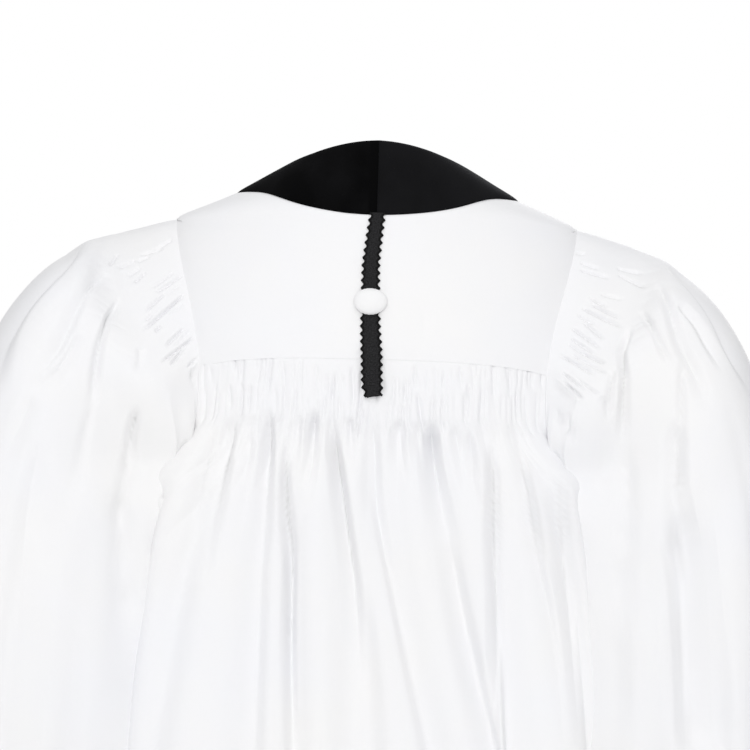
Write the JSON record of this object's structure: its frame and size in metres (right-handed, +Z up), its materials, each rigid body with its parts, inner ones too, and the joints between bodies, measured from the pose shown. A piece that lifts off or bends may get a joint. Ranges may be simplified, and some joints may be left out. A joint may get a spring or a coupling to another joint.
{
  "type": "pulpit robe",
  "caption": "White pulpit robe with a fluted yoke and full fluted sleeves, a black velvet band round the neck and down the front, and a gimp braid with a covered button.",
  "frame": {"origin": "the middle of the neck opening, level with the sides of the neck, where the worn robe is held", "axes": "+Z up, -Y out of the robe's back (the side in the picture), +Y out of its front, +X to the wearer's right"},
  "size_m": [0.8984, 0.5576, 1.4442],
  "materials": {
    "white_cloth": "white woven polyester, fine weave, soft matt with a faint sheen",
    "black_velvet": "black velvet with a short nap",
    "black_gimp": "black gimp braid with scalloped edges",
    "button_cover": "white cloth-covered dome, smooth"
  },
  "bodies": {
    "root": {"back_yoke": "white_cloth", "back_panel": "white_cloth", "front_yoke_left": "white_cloth", "front_yoke_right": "white_cloth", "front_panel_left": "white_cloth", "front_panel_right": "white_cloth", "sleeve_left": "white_cloth", "sleeve_right": "white_cloth", "velvet_band_left": "black_velvet", "velvet_band_right": "black_velvet", "hood_braid": "black_gimp", "hood_button": "button_cover"}
  },
  "joints": []
}
